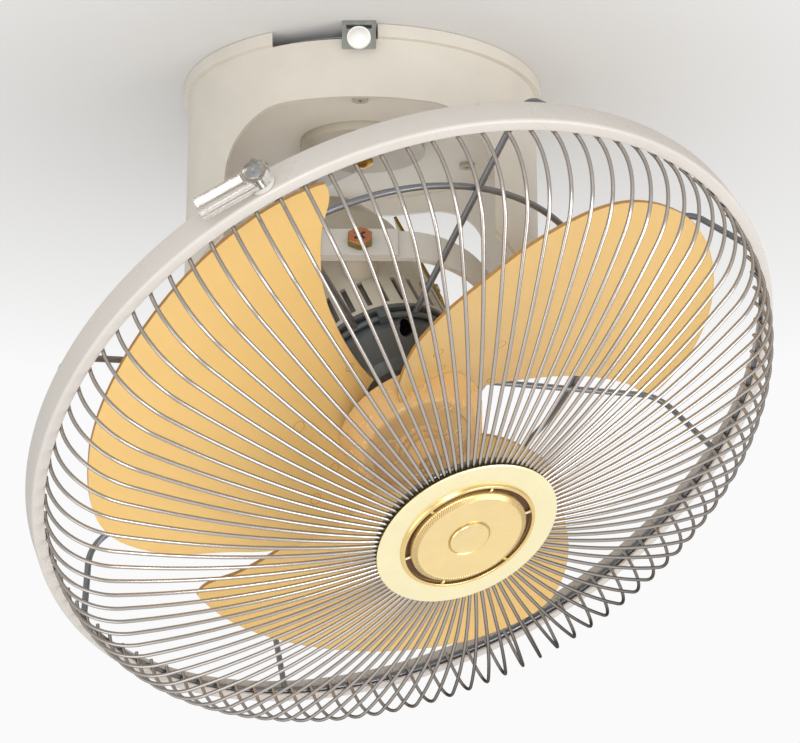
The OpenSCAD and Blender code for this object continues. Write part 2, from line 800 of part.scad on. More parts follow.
// One rear spoke in the XZ plane, from the collar out to the hoop.
module spoke() {
    turn = spoke_rise - spoke_slope;
    bend_out = spoke_bend_r * (sin(spoke_rise) - sin(spoke_slope));
    bend_up = spoke_bend_r * (cos(spoke_slope) - cos(spoke_rise));
    reach = spoke_out_r - spoke_in_r - bend_out;
    height = spoke_top - collar_s - bend_up;
    // The straight run and the tip share what the bend leaves, each at its own slope.
    tip = (height - reach * tan(spoke_slope)) / (sin(spoke_rise) - cos(spoke_rise) * tan(spoke_slope));
    run = (reach - tip * cos(spoke_rise)) / cos(spoke_slope);
    translate([spoke_in_r, 0, collar_s]) rotate([0, 90 - spoke_slope, 0]) {
        cylinder(r = rod_r, h = run - trim_len);
        translate([0, 0, run]) {
            sphere(r = rod_r + joint_bead);
            rod_arc(spoke_bend_r, turn, rod_r, trim(spoke_bend_r), trim(spoke_bend_r));
            translate([-spoke_bend_r, 0, 0]) rotate([0, -turn, 0]) translate([spoke_bend_r, 0, 0]) {
                sphere(r = rod_r + joint_bead);
                translate([0, 0, trim_len]) cylinder(r = rod_r, h = tip - trim_len);
            }
        }
    }
}

module rear_guard_spokes() {
    color("slategray") fan_frame() ring_of(spoke_count, spoke_start) spoke();
}

module rear_guard_ring() {
    color("slategray") fan_frame() translate([0, 0, mid_ring_s]) rod_ring(mid_ring_r, rod_r);
}

module rear_guard_collar() {
    color("slategray") fan_frame() translate([0, 0, collar_s]) rod_ring(collar_r, rod_r);
}

module guard_clamps() {
    top = collar_s + rod_r + side_gap / 2;
    foot = motor_front + flange_t + side_gap / 3;
    wall_r = collar_r + rod_r + side_gap / 2;
    color("silver") fan_frame() ring_of(4, 0) {
        translate([front_r + side_gap / 2, -4, top]) cube([motor_r - front_r - side_gap / 2, 8, 1.2]);
        translate([wall_r, -4, foot]) cube([motor_r - wall_r, 8, top + 1 - foot]);
    }
}

module guard_hoop() {
    color("whitesmoke") fan_frame() translate([0, 0, hoop_back]) rotate_extrude($fn = 180) polygon([
        [hoop_in_r, 0], [hoop_r, 0], [hoop_r, hoop_w - 1.5], [hoop_r - 1.5, hoop_w],
        [lip_in_r, hoop_w], [lip_in_r, hoop_w - hoop_t], [hoop_in_r, hoop_w - hoop_t]]);
}

module guard_rim_ring() {
    color("gray") fan_frame() translate([0, 0, ring_mid_s]) rod_ring(ring_mid_r, ring_rod_r);
}

// One front wire: it starts in the hoop, turns at the shoulder and arches to the badge.
module front_wire() {
    hidden_end = (hoop_front - 4.5 - wire_start) * 180 / (PI * shoulder_r);
    translate([wire_lip_r, 0, hoop_front - 4.5]) rotate([0, 90 - wire_lean, 0])
        rod_arc(shoulder_r, dome_start - wire_lean, wire_r, -hidden_end, trim(shoulder_r));
    translate([shoulder_end_r, 0, shoulder_end_s]) {
        sphere(r = wire_r + joint_bead);
        rotate([0, 90 - dome_start, 0]) rod_arc(dome_r, dome_stop - dome_start, wire_r, trim(dome_r), 0);
    }
}

// The wires from one place round the hoop to another, as a share of the whole ring.
module front_wires(from, to) {
    color("silver") fan_frame() for (i = [from * wire_count : to * wire_count - 1])
        rotate([0, 0, 1.7 + 360 * i / wire_count]) translate([0, wire_offset, 0]) front_wire();
}

module front_wires_upper() {
    front_wires(0, 0.5);
}

module front_wires_lower() {
    front_wires(0.5, 1);
}

module badge_ring() {
    color("gray") fan_frame() translate([0, 0, badge_ring_s]) rod_ring(badge_ring_r, rod_r);
}

module badge_plate() {
    bridge_w = 2;
    color("gold") fan_frame() translate([0, 0, badge_back]) difference() {
        union() {
            cylinder(r = badge_r, h = badge_t);
            translate([0, 0, badge_t - eps]) tube(slot_ring_r + 3, slot_ring_r, 1.5);
        }
        difference() {
            translate([0, 0, -1]) tube(slot_ring_r, slot_ring_r - slot_ring_w, badge_t + 4);
            ring_of(badge_slots, 8) translate([0, -bridge_w / 2, -2])
                cube([badge_r, bridge_w, badge_t + 8]);
        }
    }
}

module badge_insert() {
    color("dimgray") fan_frame() translate([0, 0, badge_back - 1]) difference() {
        cylinder(r = badge_ring_r - rod_r - 1, h = 1 - side_gap / 3);
        translate([0, 0, -1]) cylinder(r = 4, h = 3);
    }
}

module badge_dome() {
    r = slot_ring_r - slot_ring_w - 1;
    ball = (r * r + dome_h * dome_h) / (2 * dome_h);
    color("gold") fan_frame() translate([0, 0, badge_back + badge_t + side_gap / 3]) difference() {
        union() {
            intersection() {
                translate([0, 0, dome_h - ball]) sphere(r = ball, $fn = 200);
                cylinder(r = r, h = dome_h + 1);
            }
            cylinder(r = badge_boss_r, h = dome_h + 0.8);
        }
        translate([0, 0, dome_h]) cylinder(r = badge_boss_r - 2, h = 2);
    }
}

module clip_frame() {
    fan_frame() rotate([0, 0, clip_angle]) translate([0, 0, hoop_back + hoop_w / 2])
        rotate([0, 90, 0]) children();
}

module clip_mount() {
    color("whitesmoke") clip_frame() translate([0, 0, hoop_r + side_gap]) difference() {
        cylinder(r = clip_boss_r, h = clip_base - hoop_r - 2 * side_gap);
        translate([0, 0, -1]) cylinder(r = clip_screw_r + run_gap, h = 8);
    }
}

module guard_clip() {
    plate_h = clip_h * 0.45;
    color("lightcyan") clip_frame() translate([0, 0, clip_base]) difference() {
        union() {
            cylinder(r = clip_boss_r, h = clip_h);
            translate([-clip_w / 2, 0, 0]) cube([clip_w, clip_len, plate_h]);
            for (side = [-1, 1]) translate([side * clip_w / 4, 0, plate_h]) rotate([-90, 0, 0])
                cylinder(r = plate_h, h = clip_len);
        }
        translate([0, 0, -1]) cylinder(r = clip_screw_r + 2 * run_gap, h = clip_h + 2);
        translate([0, 0, clip_h - 2.5]) cylinder(r = clip_screw_r * 2 + side_gap, h = 4);
        translate([-clip_w / 2, 0, -clip_h]) cube([clip_w, clip_len + 1, clip_h]);
    }
}

module clip_screw() {
    foot = hoop_r + 2 * side_gap;
    head = clip_base + clip_h - 2.2;
    color("silver") clip_frame() difference() {
        union() {
            translate([0, 0, foot]) cylinder(r = clip_screw_r, h = head - foot + 1);
            translate([0, 0, head]) cylinder(r = clip_screw_r * 2, h = 2);
        }
        translate([-2, -0.4, head + 1.2]) cube([4, 0.8, 2]);
    }
}

// ---- what turns ------------------------------------------------------------

module drive_disc() {
    color("silver") train_frame(0, 0) {
        translate([0, 0, drive_start + side_gap / 3]) cylinder(r = drive_r, h = drive_t);
        translate([0, 0, train_end]) cylinder(r = stud_r, h = stud_end - train_end);
    }
}

module motor_shaft() {
    color("silver") fan_frame() {
        translate([0, 0, shaft_start]) cylinder(r = shaft_r, h = shaft_end - shaft_start);
        translate([0, 0, side_gap - train_end]) cylinder(r = layshaft_r, h = train_end);
    }
}

module rotor_core() {
    color("silver") fan_frame() translate([0, 0, motor_front - 4 - core_len])
        tube(rotor_r, shaft_r + run_gap, core_len);
}

// Blade outline in polar form: the leading and the trailing edge at each radius.
function lead_angle(r) = lookup(r, [[44, -19], [82, -23], [114, -26.5], [156, -33], [180, -37.2],
    [186, -37], [190, -33], [195, -26], [199, -16], [202, -5], [205, 8], [206, 14]]);
function trail_angle(r) = lookup(r, [[44, 88], [54, 86], [67, 81.5], [90, 74], [108, 66], [131, 56],
    [160, 48], [177, 43], [190, 38.5], [198, 34], [203, 28], [206, 20]]);
// Depth of the blade surface in front of the gimbal centre.
function blade_depth(r, angle) = blade_start + (pitch_growth * r + pitch_root) * (angle + 36.3) * PI / 180;

module blade() {
    growth = (blade_r - blade_root) / (table_tip - table_root);
    radii = [34, 44, 54, 67, 82, 98, 114, 131, 146, 160, 172, 180, 186, 190, 195, 199, 202, 204, 205, 206];
    cols = 9;
    rows = len(radii);
    function spot(i, j, z) = let (
            from = lead_angle(radii[i]), to = trail_angle(radii[i]),
            a = from + (to - from) * j / (cols - 1),
            r = blade_root + (radii[i] - table_root) * growth)
        [r * cos(a), r * sin(a), blade_depth(r, a) + z];
    n = rows * cols;
    points = [for (z = [-blade_t / 2, blade_t / 2], i = [0 : rows - 1], j = [0 : cols - 1]) spot(i, j, z)];
    function cell(i, j) = i * cols + j;
    lower = [for (i = [0 : rows - 2], j = [0 : cols - 2]) each [
        [cell(i, j), cell(i + 1, j), cell(i + 1, j + 1)],
        [cell(i, j), cell(i + 1, j + 1), cell(i, j + 1)]]];
    upper = [for (t = lower) [n + t[0], n + t[2], n + t[1]]];
    edge = concat([for (j = [0 : cols - 1]) cell(0, j)], [for (i = [1 : rows - 1]) cell(i, cols - 1)],
        [for (j = [cols - 2 : -1 : 0]) cell(rows - 1, j)], [for (i = [rows - 2 : -1 : 1]) cell(i, 0)]);
    m = len(edge);
    sides = [for (k = [0 : m - 1]) let (a = edge[k], b = edge[(k + 1) % m])
        each [[a, b, n + b], [a, n + b, n + a]]];
    polyhedron(points, concat(lower, upper, sides), convexity = 4);
}

module blade_hub() {
    difference() {
        rotate_extrude() polygon([[0, 0], [hub_r, 0], [hub_front_r, hub_len], [0, hub_len]]);
        difference() {
            rotate_extrude() polygon([[0, -1], [hub_r - hub_wall, -1],
                [hub_front_r - hub_wall, hub_len - hub_wall], [0, hub_len - hub_wall]]);
            translate([0, 0, -2]) cylinder(r = shaft_r + 7, h = hub_len + 2);
        }
        translate([0, 0, -1]) cylinder(r = shaft_r + run_gap, h = hub_len + 2);
    }
}

module blade_set() {
    color("orange") fan_frame() {
        translate([0, 0, hub_start]) blade_hub();
        ring_of(blade_count, blade_angle) blade();
    }
}

module blade_nut() {
    color("orange") fan_frame() translate([0, 0, hub_end]) difference() {
        union() {
            cylinder(r = nut_r, h = 3);
            translate([0, 0, 2]) cylinder(r1 = nut_r - 2, r2 = nut_r - 6, h = nut_h - 2);
        }
        translate([0, 0, -1]) cylinder(r = shaft_r + run_gap, h = nut_h - 2);
    }
}

ceiling_plate();
canopy_shell();
canopy_posts();
canopy_screws();
rim_bracket();
bracket_screw();
bracket_cap();
canopy_disc();
terminal_block();
cable_grommet();
leg_bushes();
crank_arm();
crank_bolt();
crank_pad();
yoke_strap();
yoke_pins();
head_pivot_screws();
motor_housing();
motor_front_bracket();
gear_case();
stator_core();
front_bearing();
rear_bearing();
gear_case_bolts();
side_link();
link_screw();
guard_clamps();
layshaft();
layshaft_spacer();
rear_guard_spokes();
rear_guard_ring();
rear_guard_collar();
guard_hoop();
guard_rim_ring();
front_wires_upper();
front_wires_lower();
badge_ring();
badge_plate();
badge_insert();
badge_dome();
clip_mount();
gear_first();
gear_second();
gear_third();
drive_disc();
output_gear();
guard_clip();
clip_screw();
motor_shaft();
motor_pinion();
rotor_core();
blade_set();
blade_nut();
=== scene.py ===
"""Looks of the orbital ceiling fan: a smooth guard, blades and badge, a finish for every
surface, the ceiling, soft light and the camera. Sizes are in millimetres, as in the CAD,
but for those of the lights and the camera, which are in metres."""
import json
import math

import bmesh
import bpy
from mathutils import Matrix, Vector

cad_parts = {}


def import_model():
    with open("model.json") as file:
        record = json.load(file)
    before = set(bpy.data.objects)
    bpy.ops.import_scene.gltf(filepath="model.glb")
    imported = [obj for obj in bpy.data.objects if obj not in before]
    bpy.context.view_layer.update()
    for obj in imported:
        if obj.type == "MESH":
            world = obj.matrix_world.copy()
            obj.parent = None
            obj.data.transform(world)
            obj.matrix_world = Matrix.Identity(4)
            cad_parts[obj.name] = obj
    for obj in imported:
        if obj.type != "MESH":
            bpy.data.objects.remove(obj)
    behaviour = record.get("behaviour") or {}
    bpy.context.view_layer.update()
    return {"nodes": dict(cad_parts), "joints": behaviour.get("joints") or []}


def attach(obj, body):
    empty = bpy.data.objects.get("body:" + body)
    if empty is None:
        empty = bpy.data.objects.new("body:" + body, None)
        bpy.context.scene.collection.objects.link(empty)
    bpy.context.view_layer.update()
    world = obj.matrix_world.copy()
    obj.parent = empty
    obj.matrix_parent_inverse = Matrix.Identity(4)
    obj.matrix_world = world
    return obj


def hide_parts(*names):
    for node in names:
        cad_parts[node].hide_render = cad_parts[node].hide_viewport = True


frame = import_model()

NODES = frame["nodes"]
JOINTS = {joint["name"]: joint for joint in frame["joints"]}
MM = 0.001

# The strap's frame, and the fan's own frame, whose +Z runs along the fan axis to the front.
GIMBAL = Vector(JOINTS["yoke_swing"]["pos_m"])
AXIS = Vector(JOINTS["rotor_spin"]["axis"])
HEAD_TILT = -math.asin(AXIS.x)
YOKE_TILT = math.asin(AXIS.y / math.cos(HEAD_TILT))
YOKE = Matrix.Translation(GIMBAL) @ Matrix.Rotation(YOKE_TILT, 4, "X")
FAN = YOKE @ Matrix.Rotation(HEAD_TILT, 4, "Y") @ Matrix.Rotation(math.pi, 4, "X")


# ---- sizes read from the frame -------------------------------------------------

def local_points(node, place=FAN):
    """The vertices of a CAD node, in millimetres of the place's frame."""
    to_place = place.inverted()
    return [to_place @ vertex.co / MM for vertex in NODES[node].data.vertices]


def extent(node):
    """Inner and outer radius of a CAD node about the fan axis, then its back and its front."""
    points = local_points(node)
    radii = [math.hypot(p.x, p.y) for p in points]
    depths = [p.z for p in points]
    return min(radii), max(radii), min(depths), max(depths)


def ring_size(node):
    """Radius, depth and rod radius of a CAD node that is one ring of round rod."""
    inner, outer, back, front = extent(node)
    return (inner + outer) / 2, (back + front) / 2, (outer - inner) / 2


# ---- sizes -----------------------------------------------------------------------
# A name in _R is a radius, one in _S a depth in front of the gimbal centre, one in _T a
# thickness and one in _TURN an angle in degrees about the fan axis.

# Hoop: wall thickness, and the play between parts that lie side by side.
LIP_R, HOOP_R, HOOP_BACK_S, HOOP_FRONT_S = extent("guard_hoop")
HOOP_T, SIDE_GAP = 1.8, 0.3

# Front wires: each runs beside its radius at WIRE_OFFSET, starts behind the rim ring, turns
# round the shoulder from WIRE_LEAN to DOME_START and arches to DOME_STOP, in degrees from
# radial. Its lean is the one at its foot, WIRE_INSET behind the front of the hoop.
WIRE_COUNT, WIRE_R, WIRE_OFFSET, WIRE_TURN = 100, 1.1, 2.2, 1.7
WIRE_INSET, WIRE_TAIL = 4.5, 2
WIRE_FOOT_R = LIP_R - WIRE_R - SIDE_GAP
WIRE_FOOT_S = HOOP_FRONT_S - WIRE_INSET
WIRE_START_S = ring_size("guard_rim_ring")[1] - WIRE_TAIL
WIRE_LEAN, DOME_START, DOME_STOP = 81.3, 160, 176
SHOULDER_R, DOME_R = 43, 531
SHOULDER_STEPS, DOME_STEPS = 20, 10

# Rear spokes: a nearly radial run from the collar, a bend, and a rising tip.
COLLAR_R, COLLAR_S, ROD_R = ring_size("rear_guard_collar")
SPOKE_COUNT, SPOKE_TURN = 8, 21.5
SPOKE_IN_R = COLLAR_R + ROD_R + SIDE_GAP
SPOKE_SLOPE, SPOKE_RISE = math.radians(1.3), math.radians(70)
SPOKE_RUN, SPOKE_BEND_R, SPOKE_TIP, BEND_STEPS = 145.44, 20, 40.01, 10

# Badge disc: its chamfer runs inwards from BADGE_EDGE below the top.
_, BADGE_R, BADGE_BACK_S, _ = extent("badge_plate")
BADGE_T = 1.5
BADGE_TOP_S = BADGE_BACK_S + BADGE_T
BADGE_CHAMFER, BADGE_EDGE = 0.8, 0.5
# The ring of slots between the disc and the cap, and the bridges over it.
SLOT_OUT_R, SLOT_IN_R = 38.6, 35.2
BRIDGE_COUNT, BRIDGE_W, BRIDGE_T, BRIDGE_TURN, BRIDGE_LAP = 6, 1.6, 0.9, 8, 0.4
# The lip outside the slots: it steps up from the disc and slopes to its crest.
LIP_W, LIP_STEP, LIP_RISE, LIP_SLOPE = 2.6, 0.4, 1.7, 0.9
# The knurled band inside the slots, and its slanted ribs.
BAND_W, BAND_EDGE, BAND_EASE, BAND_RISE, BAND_LIFT, BAND_STEPS = 3.0, 0.4, 0.2, 1.4, 1.6, 5
BAND_IN_R = SLOT_IN_R - BAND_EDGE - BAND_W - BAND_EASE
BAND_S = BADGE_TOP_S + BAND_LIFT
RIB_COUNT, RIB_HEIGHT, RIB_SLANT, RIB_STEPS = 144, 0.5, 14.0, 8
# The dish inside the band, and the boss in its middle with a raised rim.
DISH_RISE, DISH_DROP, DISH_STEPS = 1.5, 0.9, 9
BOSS_R, BOSS_RIM, BOSS_RISE = 11.8, 1.8, 0.9
# The dark skirt under the disc's edge, with a tooth for each wire: painted shade under the badge.
SKIRT_H, SKIRT_T, TOOTH_TURN = 2.2, 1.4, WIRE_TURN + 4.1

# Blades: their depth grows with the angle, from PITCH_TURN on, by a pitch that grows with
# the radius. The rows of their mesh crowd towards the tip.
BLADE_COUNT, BLADE_T, BLADE_TURN, BLADE_ROOT = 3, 2.4, 20, 34
BLADE_S, PITCH_GROWTH, PITCH_ROOT, PITCH_TURN = 65.8, 0.142, 10.9, -36.3
BLADE_ROWS, BLADE_COLS, TIP_CROWDING = 64, 30, 0.85
# Leading and trailing edge of a blade: (radius, angle in degrees), as in the CAD.
LEAD = [(44, -19), (82, -23), (114, -26.5), (156, -33), (180, -37.2), (186, -37), (190, -33),
        (195, -26), (199, -16), (202, -5), (205, 8), (206, 14)]
TRAIL = [(44, 88), (54, 86), (67, 81.5), (90, 74), (108, 66), (131, 56), (160, 48), (177, 43),
         (190, 38.5), (198, 34), (203, 28), (206, 20)]
BLADE_TIP = LEAD[-1][0]
# Mould marks on each blade: (radius, angle, radius of the mark).
MARKS = ((74, 21, 3.6), (57.5, -15, 2.6), (70.5, 61, 3.2), (52, 52, 2.6))
MARK_WIRE_R, MARK_STEPS = 0.3, 28

# Hub: a cup that opens backwards, with a boss on the shaft, ribs from HUB_RIB_R[0] to
# HUB_RIB_R[1], and a ring-shaped dish in its front, which the nut's back meets.
HUB_H, HUB_R, HUB_FRONT_R, HUB_WALL, HUB_ROOF, HUB_ROOF_R = 20, 46, 38, 2.5, 4, 34
HUB_END_S = extent("blade_nut")[2]
HUB_S = HUB_END_S - HUB_H
HUB_BORE_R, HUB_BOSS_R = 4.1, 11
HUB_DISH, HUB_DISH_IN_R, HUB_DISH_OUT_R = 2.2, 17, 30
HUB_RIB_COUNT, HUB_RIB_T, HUB_RIB_TURN, HUB_RIB_R = 6, 1.8, BLADE_TURN + 10, (10, 36)

# Pivot screws: a hexagon with rounded corners and a chamfer, a round face on it and a dark
# cross in the face, painted shade of a cross recess. A share is one of the corners' distance
# from the screw's axis.
SCREW_H, SCREW_CORNER_R, SCREW_ROUND = 5, 8.3, 1.2
SCREW_SEAT = max(p.y for p in local_points("head_pivot_screws", YOKE)) - SCREW_H
CHAMFER_SHARE, CHAMFER_FROM, CHAMFER_TO = 0.93, SCREW_H - 0.9, SCREW_H - 0.25
FACE_SHARE, FACE_T, FACE_STEPS = 0.87, 1.2, 48
CROSS_ARM, CROSS_REACH, CROSS_T, CROSS_PROUD = 1.0, 4.2, 1.0, 0.05

# Surfaces: the lighter inner colour of the canopy, painted light, ends within its wall,
# between these radii, and a patch of colour is this much larger than one of gloss.
LIT_INSIDE_FADE, PATCH_TO_GLOSS = (109, 109.5), 2.6

# Ceiling: just above the canopy plate and open over it. It is painted near the canopy, and
# white to the camera further off.
CEILING_HOLE_R, CEILING_R, CEILING_Z, CEILING_STEPS = 94.5, 14000, 0.3, 96
CEILING_PAINT, CEILING_FAR = (206, 205, 203), (250, 250, 250)
CEILING_FADE, CEILING_POWER = (100, 800), 0.65

# Light: the world's strength, then the name, place, power in watts and diameter of a softbox.
WORLD_LIGHT = 0.82
SOFTBOXES = (("key", (1.9, -1.3, -1.3), 28, 1.6),
             ("fill", (-1.8, -1.4, -1.3), 10, 1.8),
             ("front", (0.1, -1.5, -0.6), 7.5, 0.6))

# Camera: its place, its angle above the level in radians, and its lens on a 36 mm sensor.
CAMERA_AT, CAMERA_RISE = (0.024115, -1.211836, -0.485886), 0.2447
LENS, SENSOR = 90, 36


# ---- geometry helpers ------------------------------------------------------------

def polar(r, degrees, s=0.0):
    """The point at a radius, an angle and a place along the axis."""
    a = math.radians(degrees)
    return Vector((r * math.cos(a), r * math.sin(a), s))


def circle(r, s, steps=240):
    """Points of a circle about the axis."""
    return [polar(r, 360 * i / steps, s) for i in range(steps)]


def turned(degrees, axis="Z"):
    return Matrix.Rotation(math.radians(degrees), 4, axis)


def rounded(corners, arc_steps=5):
    """Outline through (x, y, radius) corners, each corner turned into an arc."""
    outline = []
    for i, (x, y, radius) in enumerate(corners):
        if radius == 0:
            outline.append((x, y))
            continue
        p = Vector((x, y))
        before = Vector(corners[i - 1][:2]) - p
        after = Vector(corners[(i + 1) % len(corners)][:2]) - p
        u, v = before.normalized(), after.normalized()
        half = u.angle(v) / 2
        cut = min(radius / math.tan(half), 0.49 * min(before.length, after.length))
        centre = p + (u + v).normalized() * (cut / math.cos(half))
        start, stop = p + u * cut - centre, p + v * cut - centre
        sweep = math.atan2(start.x * stop.y - start.y * stop.x, start.dot(stop))
        for k in range(arc_steps + 1):
            a = sweep * k / arc_steps
            c, s = math.cos(a), math.sin(a)
            outline.append((centre.x + c * start.x - s * start.y,
                            centre.y + s * start.x + c * start.y))
    return outline


def lathe(profile, steps=180, wave=None):
    """Vertices and faces of a closed (radius, height) profile turned round the axis.
    wave(angle, r) moves a point along the axis."""
    verts, faces, n = [], [], len(profile)
    for i in range(steps):
        a = 2 * math.pi * i / steps
        for r, s in profile:
            lift = wave(a, r) if wave else 0
            verts.append((r * math.cos(a), r * math.sin(a), s + lift))
    for i in range(steps):
        for k in range(n):
            here, there, up = i * n, (i + 1) % steps * n, (k + 1) % n
            faces.append((here + k, here + up, there + up, there + k))
    return verts, faces


def prism(outline, low, high):
    """Vertices and faces of an (x, y) outline drawn from low to high."""
    n = len(outline)
    verts = [(x, y, low) for x, y in outline] + [(x, y, high) for x, y in outline]
    faces = [tuple(range(n - 1, -1, -1)), tuple(range(n, 2 * n))]
    faces += [(k, (k + 1) % n, n + (k + 1) % n, n + k) for k in range(n)]
    return verts, faces


def bar(start, stop, width, low, high):
    """A straight radial bar from start to stop."""
    half = width / 2
    return prism([(start, -half), (stop, -half), (stop, half), (start, half)], low, high)


def join(parts):
    """One (vertices, faces) pair from several."""
    verts, faces = [], []
    for part_verts, part_faces in parts:
        faces += [tuple(len(verts) + i for i in face) for face in part_faces]
        verts += part_verts
    return verts, faces


def moved(part, matrix):
    verts, faces = part
    return [tuple(matrix @ Vector(v)) for v in verts], faces


def ring_of(part, count, start=0):
    return join([moved(part, turned(start + 360 * i / count)) for i in range(count)])


def dress(obj, body, materials, nodes):
    """Links a piece, gives it its materials and body, and hides the nodes that it stands for."""
    bpy.context.scene.collection.objects.link(obj)
    for material in materials:
        obj.data.materials.append(material)
    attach(obj, body)
    if nodes:
        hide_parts(*nodes)
    return obj


def mesh_piece(name, part, body, slot, materials, nodes=(), place=FAN, sharp=32, bevel=0.0):
    """A mesh piece in the place's frame, smooth but for edges sharper than sharp degrees."""
    verts, faces = part
    mesh = bpy.data.meshes.new(name)
    mesh.from_pydata([place @ (Vector(v) * MM) for v in verts], [], faces)
    work = bmesh.new()
    work.from_mesh(mesh)
    bmesh.ops.remove_doubles(work, verts=work.verts, dist=MM / 1000)
    bmesh.ops.recalc_face_normals(work, faces=work.faces)
    work.to_mesh(mesh)
    work.free()
    mesh.shade_smooth()
    mesh.set_sharp_from_angle(angle=math.radians(sharp))
    obj = dress(bpy.data.objects.new(name, mesh), body, materials, nodes)
    if bevel:
        add_bevel(obj, bevel)
    return obj


def add_bevel(obj, width, segments=3, angle=40):
    modifier = obj.modifiers.new("edges", "BEVEL")
    modifier.width = width * MM
    modifier.segments = segments
    modifier.limit_method = "ANGLE"
    modifier.angle_limit = math.radians(angle)
    modifier.harden_normals = True


def rod_piece(name, paths, radius, body, material, nodes=(), closed=False):
    """Round rods along lists of points in the fan's frame."""
    data = bpy.data.curves.new(name, "CURVE")
    data.dimensions = "3D"
    data.bevel_depth = radius * MM
    data.bevel_resolution = 4
    data.use_fill_caps = True
    for path in paths:
        spline = data.splines.new("POLY")
        spline.points.add(len(path) - 1)
        for point, p in zip(spline.points, path):
            point.co = (*(FAN @ (Vector(p) * MM)), 1)
        spline.use_cyclic_u = closed
    return dress(bpy.data.objects.new(name, data), body, [material], nodes)


# ---- shader helpers --------------------------------------------------------------

# Sockets of the Mix node's colour mode, which share their names with those of other modes.
MIX_A, MIX_B, MIX_RESULT = 6, 7, 2


def srgb(colour):
    """Linear colour from display values of 0 to 255."""
    def linear(c):
        c /= 255
        return c / 12.92 if c <= 0.04045 else ((c + 0.055) / 1.055) ** 2.4
    return (*(linear(c) for c in colour), 1)


def scaled(colour, factor):
    return (*(min(1, c * factor) for c in colour[:3]), 1)


def feed(tree, socket, value):
    """Links the value to the socket where it is a socket too, and sets it otherwise."""
    if isinstance(value, bpy.types.NodeSocket):
        tree.links.new(value, socket)
    else:
        socket.default_value = value


def calculated(tree, kind, operation, *values):
    """A math node of either kind with its values in its first sockets."""
    node = tree.nodes.new(kind)
    node.operation = operation
    for socket, value in zip(node.inputs, values):
        feed(tree, socket, value)
    return node


def math_of(tree, operation, a, b):
    return calculated(tree, "ShaderNodeMath", operation, a, b).outputs["Value"]


def noise_of(tree, size, detail=3.0):
    """Noise with patches of about the size in millimetres."""
    node = tree.nodes.new("ShaderNodeTexNoise")
    node.inputs["Scale"].default_value = 1 / (size * MM)
    node.inputs["Detail"].default_value = detail
    feed(tree, node.inputs["Vector"], tree.nodes.new("ShaderNodeTexCoord").outputs["Object"])
    return node.outputs["Fac"]


def mapped(tree, value, low, high, start=0.3, stop=0.7):
    """The value from start to stop turned into low to high; most noise is in 0.3 to 0.7."""
    node = tree.nodes.new("ShaderNodeMapRange")
    feed(tree, node.inputs["Value"], value)
    for name, number in (("From Min", start), ("From Max", stop), ("To Min", low), ("To Max", high)):
        node.inputs[name].default_value = number
    return node.outputs["Result"]


def mixed(tree, factor, a, b):
    """Colour mix of a and b, each a colour or a socket."""
    node = tree.nodes.new("ShaderNodeMix")
    node.data_type = "RGBA"
    feed(tree, node.inputs["Factor"], factor)
    feed(tree, node.inputs[MIX_A], a)
    feed(tree, node.inputs[MIX_B], b)
    return node.outputs[MIX_RESULT]


def mixed_shader(tree, factor, a, b):
    node = tree.nodes.new("ShaderNodeMixShader")
    for socket, value in zip(node.inputs, (factor, a, b)):
        tree.links.new(value, socket)
    return node.outputs["Shader"]


def beyond(tree, near, far):
    """0 up to near and 1 from far on, both in millimetres from the Z axis."""
    place = tree.nodes.new("ShaderNodeTexCoord").outputs["Object"]
    flat = calculated(tree, "ShaderNodeVectorMath", "MULTIPLY", place, (1, 1, 0))
    length = calculated(tree, "ShaderNodeVectorMath", "LENGTH", flat.outputs["Vector"])
    return mapped(tree, length.outputs["Value"], 0, 1, near * MM, far * MM)


def crevice_shade_mask(tree, depth, samples=4):
    """0 in the open and 1 in crevices of about the depth in millimetres: the mask of painted shade."""
    node = tree.nodes.new("ShaderNodeAmbientOcclusion")
    node.samples = samples
    node.inputs["Distance"].default_value = depth * MM
    return mapped(tree, node.outputs["AO"], 1, 0, 0.25, 0.85)


def surface_normal(tree, grain, grain_size, edge, height=0.2, samples=4):
    """Fine bumps, on edges softened to a radius; edge, grain_size and height in millimetres."""
    bump = tree.nodes.new("ShaderNodeBump")
    bump.inputs["Strength"].default_value = grain
    bump.inputs["Distance"].default_value = height * MM
    feed(tree, bump.inputs["Height"], noise_of(tree, grain_size, 2))
    if edge:
        soft = tree.nodes.new("ShaderNodeBevel")
        soft.samples = samples
        soft.inputs["Radius"].default_value = edge * MM
        feed(tree, bump.inputs["Normal"], soft.outputs["Normal"])
    return bump.outputs["Normal"]


# ---- materials -------------------------------------------------------------------

